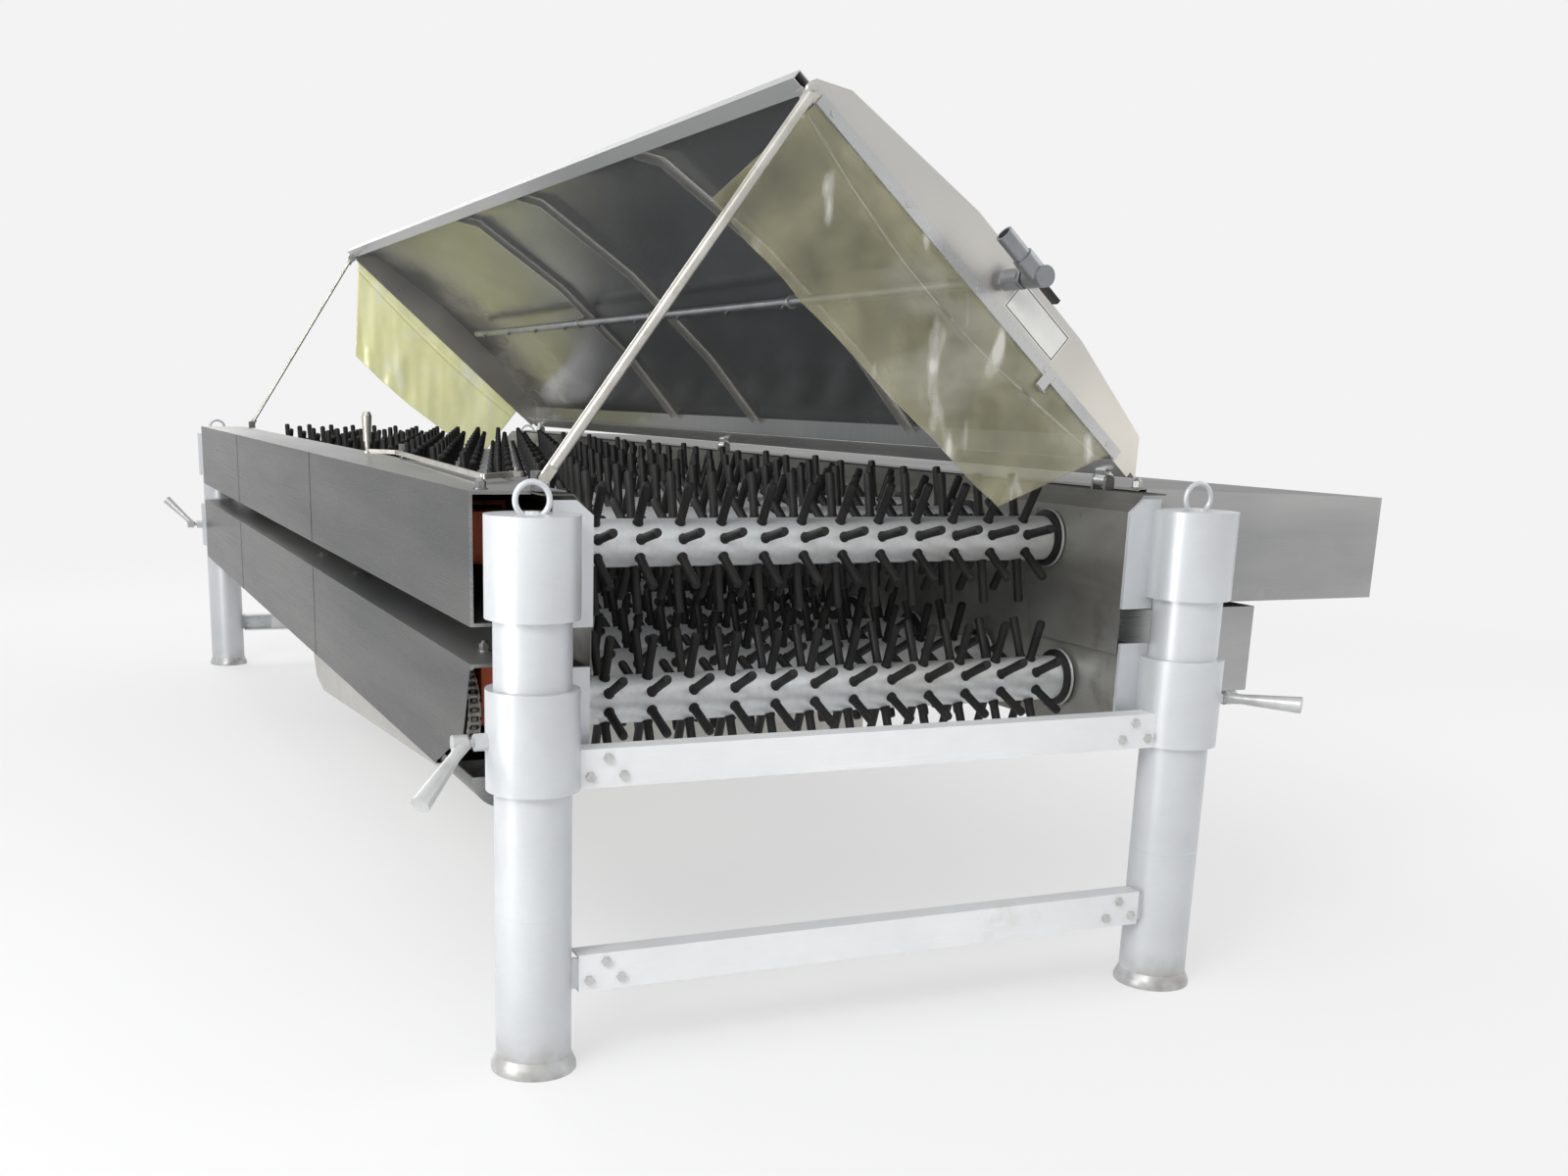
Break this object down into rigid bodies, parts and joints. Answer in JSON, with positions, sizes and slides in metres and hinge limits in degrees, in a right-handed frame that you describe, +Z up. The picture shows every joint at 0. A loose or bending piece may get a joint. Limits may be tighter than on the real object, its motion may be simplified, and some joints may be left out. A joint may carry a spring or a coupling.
{
  "type": "poultry plucker",
  "caption": "Floor-standing roller poultry plucker: layers of finger rollers in height-adjustable frames on posts, with side drive cases and a hinged hood with curtains.",
  "frame": {"origin": "on the floor, midway between the four posts", "axes": "+Z up, Y along the machine with the front, where the open chain cases are, at -Y, X across the rollers with the wide drive cover at +X"},
  "size_m": [2.5685, 5.6954, 2.027],
  "materials": {
    "post_steel": "brushed",
    "beam_steel": "satin",
    "bolt_steel": "satin",
    "sleeve_steel": "brushed",
    "plate_steel": "brushed",
    "case_steel": "brushed",
    "bearing_paint": "satin",
    "chain_steel": "oiled",
    "pan_steel": "satin",
    "motor_paint": "satin",
    "hood_steel": "brushed",
    "bar_steel": "satin",
    "pipe_steel": "satin",
    "curtain_rubber": "smooth, slightly translucent",
    "grip_plastic": "matt",
    "rod_steel": "satin",
    "lever_steel": "satin",
    "roller_steel": "satin"
  },
  "bodies": {
    "stand": {"leg_posts": "post_steel", "base_beams": "beam_steel", "base_bolts": "bolt_steel"},
    "lower_frame": {"lower_sleeves": "sleeve_steel", "frame_beams": "beam_steel", "frame_bolts": "bolt_steel", "lower_side_plates": "plate_steel", "lower_chain_case": "case_steel", "lower_right_case": "case_steel", "lower_bearings": "bearing_paint", "lower_chain": "chain_steel", "feather_pan": "pan_steel", "lower_motor": "motor_paint"},
    "upper_frame": {"upper_sleeves": "sleeve_steel", "upper_side_plates": "plate_steel", "upper_chain_case": "case_steel", "motor_housing": "case_steel", "upper_bearings": "bearing_paint", "upper_chain": "chain_steel", "upper_motor": "motor_paint"},
    "hood": {"hood_shell": "hood_steel", "hood_end_plates": "hood_steel", "curtain_bars": "bar_steel", "spray_pipe": "pipe_steel", "front_curtain": "curtain_rubber", "rear_curtain": "curtain_rubber"},
    "valve_lever": {"valve_lever": "grip_plastic"},
    "front_prop_rod": {"front_prop_rod": "rod_steel"},
    "rear_stay": {"rear_stay": "rod_steel"},
    "latch_lever": {"latch_lever": "rod_steel"},
    "clamp_lever_front_left": {"clamp_lever_front_left": "lever_steel"},
    "clamp_lever_front_right": {"clamp_lever_front_right": "lever_steel"},
    "clamp_lever_rear_left": {"clamp_lever_rear_left": "lever_steel"},
    "clamp_lever_rear_right": {"clamp_lever_rear_right": "lever_steel"},
    "upper_roller_01": {"upper_roller_01": "roller_steel"},
    "upper_roller_02": {"upper_roller_02": "roller_steel"},
    "upper_roller_03": {"upper_roller_03": "roller_steel"},
    "upper_roller_04": {"upper_roller_04": "roller_steel"},
    "upper_roller_05": {"upper_roller_05": "roller_steel"},
    "upper_roller_06": {"upper_roller_06": "roller_steel"},
    "upper_roller_07": {"upper_roller_07": "roller_steel"},
    "upper_roller_08": {"upper_roller_08": "roller_steel"},
    "upper_roller_09": {"upper_roller_09": "roller_steel"},
    "upper_roller_10": {"upper_roller_10": "roller_steel"},
    "upper_roller_11": {"upper_roller_11": "roller_steel"},
    "upper_roller_12": {"upper_roller_12": "roller_steel"},
    "upper_roller_13": {"upper_roller_13": "roller_steel"},
    "lower_roller_01": {"lower_roller_01": "roller_steel"},
    "lower_roller_02": {"lower_roller_02": "roller_steel"},
    "lower_roller_03": {"lower_roller_03": "roller_steel"},
    "lower_roller_04": {"lower_roller_04": "roller_steel"},
    "lower_roller_05": {"lower_roller_05": "roller_steel"},
    "lower_roller_06": {"lower_roller_06": "roller_steel"},
    "lower_roller_07": {"lower_roller_07": "roller_steel"},
    "lower_roller_08": {"lower_roller_08": "roller_steel"},
    "lower_roller_09": {"lower_roller_09": "roller_steel"},
    "lower_roller_10": {"lower_roller_10": "roller_steel"},
    "lower_roller_11": {"lower_roller_11": "roller_steel"},
    "lower_roller_12": {"lower_roller_12": "roller_steel"},
    "lower_roller_13": {"lower_roller_13": "roller_steel"}
  },
  "joints": [
    {"name": "upper_frame_lift", "type": "slide", "parent": "stand", "child": "upper_frame", "axis": [0, 0, 1], "range_m": [-0.005, 0.08]},
    {"name": "lower_frame_lift", "type": "slide", "parent": "stand", "child": "lower_frame", "axis": [0, 0, 1], "range_m": [-0.08, 0.005]},
    {"name": "hood_hinge", "type": "hinge", "parent": "upper_frame", "child": "hood", "pos_m": [0.715, -2.45, 1.208], "axis": [0, -1, 0], "range_deg": [0, 40]},
    {"name": "front_prop_swing", "type": "hinge", "parent": "hood", "child": "front_prop_rod", "pos_m": [-0.17933, -2.6, 1.98543], "axis": [0, -1, 0], "range_deg": [-114, 0]},
    {"name": "rear_stay_swing", "type": "hinge", "parent": "hood", "child": "rear_stay", "pos_m": [-0.17933, 2.34, 1.98543], "axis": [0, -1, 0], "range_deg": [-114, 0]},
    {"name": "valve_turn", "type": "hinge", "parent": "hood", "child": "valve_lever", "pos_m": [0.34298, -2.615, 1.67052], "axis": [-0.6561, 0, -0.7547], "range_deg": [0, 90]},
    {"name": "latch_turn", "type": "hinge", "parent": "upper_frame", "child": "latch_lever", "pos_m": [-0.68, -2.175, 1.2], "axis": [0, 0, 1], "range_deg": [0, 5]},
    {"name": "clamp_front_left", "type": "hinge", "parent": "lower_frame", "child": "clamp_lever_front_left", "pos_m": [-0.9, -2.7, 0.706], "axis": [1, 0, 0], "range_deg": [-60, 60]},
    {"name": "clamp_front_right", "type": "hinge", "parent": "lower_frame", "child": "clamp_lever_front_right", "pos_m": [0.9, -2.7, 0.706], "axis": [1, 0, 0], "range_deg": [-30, 60]},
    {"name": "clamp_rear_left", "type": "hinge", "parent": "lower_frame", "child": "clamp_lever_rear_left", "pos_m": [-0.9, 2.7, 0.706], "axis": [1, 0, 0], "range_deg": [-60, 60]},
    {"name": "clamp_rear_right", "type": "hinge", "parent": "lower_frame", "child": "clamp_lever_rear_right", "pos_m": [0.9, 2.7, 0.706], "axis": [1, 0, 0], "range_deg": [-30, 30]},
    {"name": "upper_roller_01_spin", "type": "hinge", "parent": "upper_frame", "child": "upper_roller_01", "pos_m": [0, -2.33, 1.06], "axis": [1, 0, 0], "continuous": true},
    {"name": "upper_roller_02_spin", "type": "hinge", "parent": "upper_frame", "child": "upper_roller_02", "pos_m": [0, -1.96805, 1.06], "axis": [1, 0, 0], "continuous": true},
    {"name": "upper_roller_03_spin", "type": "hinge", "parent": "upper_frame", "child": "upper_roller_03", "pos_m": [0, -1.6061, 1.06], "axis": [1, 0, 0], "continuous": true},
    {"name": "upper_roller_04_spin", "type": "hinge", "parent": "upper_frame", "child": "upper_roller_04", "pos_m": [0, -1.24415, 1.06], "axis": [1, 0, 0], "continuous": true},
    {"name": "upper_roller_05_spin", "type": "hinge", "parent": "upper_frame", "child": "upper_roller_05", "pos_m": [0, -0.8822, 1.06], "axis": [1, 0, 0], "continuous": true},
    {"name": "upper_roller_06_spin", "type": "hinge", "parent": "upper_frame", "child": "upper_roller_06", "pos_m": [0, -0.52025, 1.06], "axis": [1, 0, 0], "continuous": true},
    {"name": "upper_roller_07_spin", "type": "hinge", "parent": "upper_frame", "child": "upper_roller_07", "pos_m": [0, -0.1583, 1.06], "axis": [1, 0, 0], "continuous": true},
    {"name": "upper_roller_08_spin", "type": "hinge", "parent": "upper_frame", "child": "upper_roller_08", "pos_m": [0, 0.20365, 1.06], "axis": [1, 0, 0], "continuous": true},
    {"name": "upper_roller_09_spin", "type": "hinge", "parent": "upper_frame", "child": "upper_roller_09", "pos_m": [0, 0.5656, 1.06], "axis": [1, 0, 0], "continuous": true},
    {"name": "upper_roller_10_spin", "type": "hinge", "parent": "upper_frame", "child": "upper_roller_10", "pos_m": [0, 0.92755, 1.06], "axis": [1, 0, 0], "continuous": true},
    {"name": "upper_roller_11_spin", "type": "hinge", "parent": "upper_frame", "child": "upper_roller_11", "pos_m": [0, 1.2895, 1.06], "axis": [1, 0, 0], "continuous": true},
    {"name": "upper_roller_12_spin", "type": "hinge", "parent": "upper_frame", "child": "upper_roller_12", "pos_m": [0, 1.65145, 1.06], "axis": [1, 0, 0], "continuous": true},
    {"name": "upper_roller_13_spin", "type": "hinge", "parent": "upper_frame", "child": "upper_roller_13", "pos_m": [0, 2.0134, 1.06], "axis": [1, 0, 0], "continuous": true},
    {"name": "lower_roller_01_spin", "type": "hinge", "parent": "lower_frame", "child": "lower_roller_01", "pos_m": [0, -2.415, 0.722], "axis": [1, 0, 0], "continuous": true},
    {"name": "lower_roller_02_spin", "type": "hinge", "parent": "lower_frame", "child": "lower_roller_02", "pos_m": [0, -2.05305, 0.722], "axis": [1, 0, 0], "continuous": true},
    {"name": "lower_roller_03_spin", "type": "hinge", "parent": "lower_frame", "child": "lower_roller_03", "pos_m": [0, -1.6911, 0.722], "axis": [1, 0, 0], "continuous": true},
    {"name": "lower_roller_04_spin", "type": "hinge", "parent": "lower_frame", "child": "lower_roller_04", "pos_m": [0, -1.32915, 0.722], "axis": [1, 0, 0], "continuous": true},
    {"name": "lower_roller_05_spin", "type": "hinge", "parent": "lower_frame", "child": "lower_roller_05", "pos_m": [0, -0.9672, 0.722], "axis": [1, 0, 0], "continuous": true},
    {"name": "lower_roller_06_spin", "type": "hinge", "parent": "lower_frame", "child": "lower_roller_06", "pos_m": [0, -0.60525, 0.722], "axis": [1, 0, 0], "continuous": true},
    {"name": "lower_roller_07_spin", "type": "hinge", "parent": "lower_frame", "child": "lower_roller_07", "pos_m": [0, -0.2433, 0.722], "axis": [1, 0, 0], "continuous": true},
    {"name": "lower_roller_08_spin", "type": "hinge", "parent": "lower_frame", "child": "lower_roller_08", "pos_m": [0, 0.11865, 0.722], "axis": [1, 0, 0], "continuous": true},
    {"name": "lower_roller_09_spin", "type": "hinge", "parent": "lower_frame", "child": "lower_roller_09", "pos_m": [0, 0.4806, 0.722], "axis": [1, 0, 0], "continuous": true},
    {"name": "lower_roller_10_spin", "type": "hinge", "parent": "lower_frame", "child": "lower_roller_10", "pos_m": [0, 0.84255, 0.722], "axis": [1, 0, 0], "continuous": true},
    {"name": "lower_roller_11_spin", "type": "hinge", "parent": "lower_frame", "child": "lower_roller_11", "pos_m": [0, 1.2045, 0.722], "axis": [1, 0, 0], "continuous": true},
    {"name": "lower_roller_12_spin", "type": "hinge", "parent": "lower_frame", "child": "lower_roller_12", "pos_m": [0, 1.56645, 0.722], "axis": [1, 0, 0], "continuous": true},
    {"name": "lower_roller_13_spin", "type": "hinge", "parent": "lower_frame", "child": "lower_roller_13", "pos_m": [0, 1.9284, 0.722], "axis": [1, 0, 0], "continuous": true}
  ],
  "couplings": [
    {"joint": "front_prop_swing", "follows": "hood_hinge", "ratio": -2.8},
    {"joint": "rear_stay_swing", "follows": "hood_hinge", "ratio": -2.8},
    {"joint": "upper_roller_02_spin", "follows": "upper_roller_01_spin", "ratio": 1},
    {"joint": "upper_roller_03_spin", "follows": "upper_roller_01_spin", "ratio": 1},
    {"joint": "upper_roller_04_spin", "follows": "upper_roller_01_spin", "ratio": 1},
    {"joint": "upper_roller_05_spin", "follows": "upper_roller_01_spin", "ratio": 1},
    {"joint": "upper_roller_06_spin", "follows": "upper_roller_01_spin", "ratio": 1},
    {"joint": "upper_roller_07_spin", "follows": "upper_roller_01_spin", "ratio": 1},
    {"joint": "upper_roller_08_spin", "follows": "upper_roller_01_spin", "ratio": 1},
    {"joint": "upper_roller_09_spin", "follows": "upper_roller_01_spin", "ratio": 1},
    {"joint": "upper_roller_10_spin", "follows": "upper_roller_01_spin", "ratio": 1},
    {"joint": "upper_roller_11_spin", "follows": "upper_roller_01_spin", "ratio": 1},
    {"joint": "upper_roller_12_spin", "follows": "upper_roller_01_spin", "ratio": 1},
    {"joint": "upper_roller_13_spin", "follows": "upper_roller_01_spin", "ratio": 1},
    {"joint": "lower_roller_02_spin", "follows": "lower_roller_01_spin", "ratio": 1},
    {"joint": "lower_roller_03_spin", "follows": "lower_roller_01_spin", "ratio": 1},
    {"joint": "lower_roller_04_spin", "follows": "lower_roller_01_spin", "ratio": 1},
    {"joint": "lower_roller_05_spin", "follows": "lower_roller_01_spin", "ratio": 1},
    {"joint": "lower_roller_06_spin", "follows": "lower_roller_01_spin", "ratio": 1},
    {"joint": "lower_roller_07_spin", "follows": "lower_roller_01_spin", "ratio": 1},
    {"joint": "lower_roller_08_spin", "follows": "lower_roller_01_spin", "ratio": 1},
    {"joint": "lower_roller_09_spin", "follows": "lower_roller_01_spin", "ratio": 1},
    {"joint": "lower_roller_10_spin", "follows": "lower_roller_01_spin", "ratio": 1},
    {"joint": "lower_roller_11_spin", "follows": "lower_roller_01_spin", "ratio": 1},
    {"joint": "lower_roller_12_spin", "follows": "lower_roller_01_spin", "ratio": 1},
    {"joint": "lower_roller_13_spin", "follows": "lower_roller_01_spin", "ratio": 1}
  ]
}
